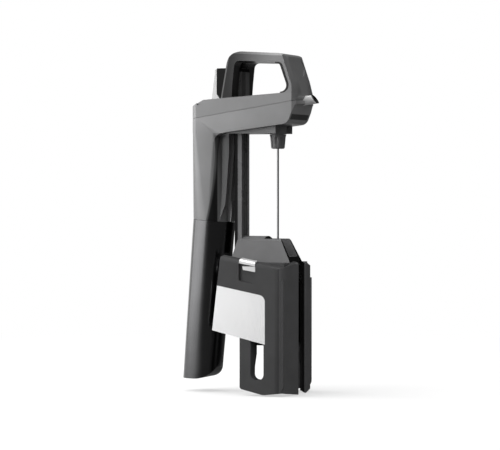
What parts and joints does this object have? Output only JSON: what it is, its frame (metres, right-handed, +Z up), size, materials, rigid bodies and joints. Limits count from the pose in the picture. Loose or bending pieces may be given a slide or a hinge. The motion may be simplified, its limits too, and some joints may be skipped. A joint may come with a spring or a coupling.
{
  "type": "wine preservation dispenser",
  "caption": "Hand-held needle dispenser that clamps on a bottle neck: a head with handle, spout, trigger and gas cup slides down a rail between sprung clamp arms.",
  "frame": {"origin": "on the needle axis, at the middle of the height of the pads that hold the bottle neck", "axes": "+Z up along the needle axis towards the handle, -Y towards the spout, X across the two clamp arms"},
  "size_m": [0.0602, 0.1058, 0.2488],
  "materials": {
    "grey_moulding": "satin",
    "charcoal_moulding": "matt",
    "grey_gloss": "gloss",
    "black_gloss": "gloss",
    "gunmetal_gloss": "gloss",
    "white_glide": "satin",
    "black_rubber": "matt",
    "steel": "satin",
    "bright_chrome": "polished",
    "satin_badge": "satin",
    "brass_works": "machined"
  },
  "bodies": {
    "clamp_frame": {"guide_block": "grey_moulding", "clamp_yoke": "charcoal_moulding", "mouth_seat": "black_rubber", "guide_bush": "steel", "rail": "black_gloss", "rail_screws": "steel", "stop_block": "charcoal_moulding", "stop_trim": "bright_chrome", "hinge_pins": "steel", "arm_springs": "steel"},
    "left_clamp_arm": {"left_arm": "charcoal_moulding", "left_pad": "black_rubber", "left_clip": "bright_chrome", "left_badge": "satin_badge"},
    "right_clamp_arm": {"right_arm": "charcoal_moulding", "right_pad": "black_rubber", "right_clip": "bright_chrome", "right_badge": "satin_badge"},
    "head": {"body_shell": "grey_gloss", "head_cover": "grey_gloss", "finger_pad": "black_rubber", "chin_block": "grey_moulding", "rail_glides": "white_glide", "cover_screws": "steel", "spout": "bright_chrome", "spout_seal": "black_rubber", "wine_tube": "black_rubber", "valve_block": "charcoal_moulding", "needle_socket": "charcoal_moulding", "gas_tube": "black_rubber", "regulator": "brass_works", "piercing_pin": "steel", "regulator_seal": "black_rubber", "trigger_pin": "steel", "trigger_spring": "steel"},
    "trigger_lever": {"trigger": "black_gloss"},
    "needle": {"needle_hub": "grey_moulding", "needle_tube": "steel"},
    "cup": {"capsule_cup": "gunmetal_gloss", "cup_cushion": "black_rubber", "gas_capsule": "steel"}
  },
  "joints": [
    {"name": "head_slide", "type": "slide", "parent": "clamp_frame", "child": "head", "axis": [0, 0, -1], "range_m": [0, 0.0745]},
    {"name": "left_arm_hinge", "type": "hinge", "parent": "clamp_frame", "child": "left_clamp_arm", "pos_m": [-0.02, 0, 0.0305], "axis": [0, 1, 0], "range_deg": [0, 8], "stiffness_Nm_per_rad": 0.6, "springref_deg": -20.05},
    {"name": "right_arm_hinge", "type": "hinge", "parent": "clamp_frame", "child": "right_clamp_arm", "pos_m": [0.02, 0, 0.0305], "axis": [0, -1, 0], "range_deg": [0, 8], "stiffness_Nm_per_rad": 0.6, "springref_deg": -20.05},
    {"name": "trigger_hinge", "type": "hinge", "parent": "head", "child": "trigger_lever", "pos_m": [0, 0.0365, 0.137], "axis": [1, 0, 0], "range_deg": [0, 2.2], "stiffness_Nm_per_rad": 2, "springref_deg": -1.72},
    {"name": "needle_turn", "type": "hinge", "parent": "head", "child": "needle", "pos_m": [0, 0, 0.127], "axis": [0, 0, 1], "continuous": true},
    {"name": "cup_turn", "type": "hinge", "parent": "head", "child": "cup", "pos_m": [0, 0.05035, 0.067], "axis": [0, -0.0819, 0.9966], "continuous": true}
  ]
}
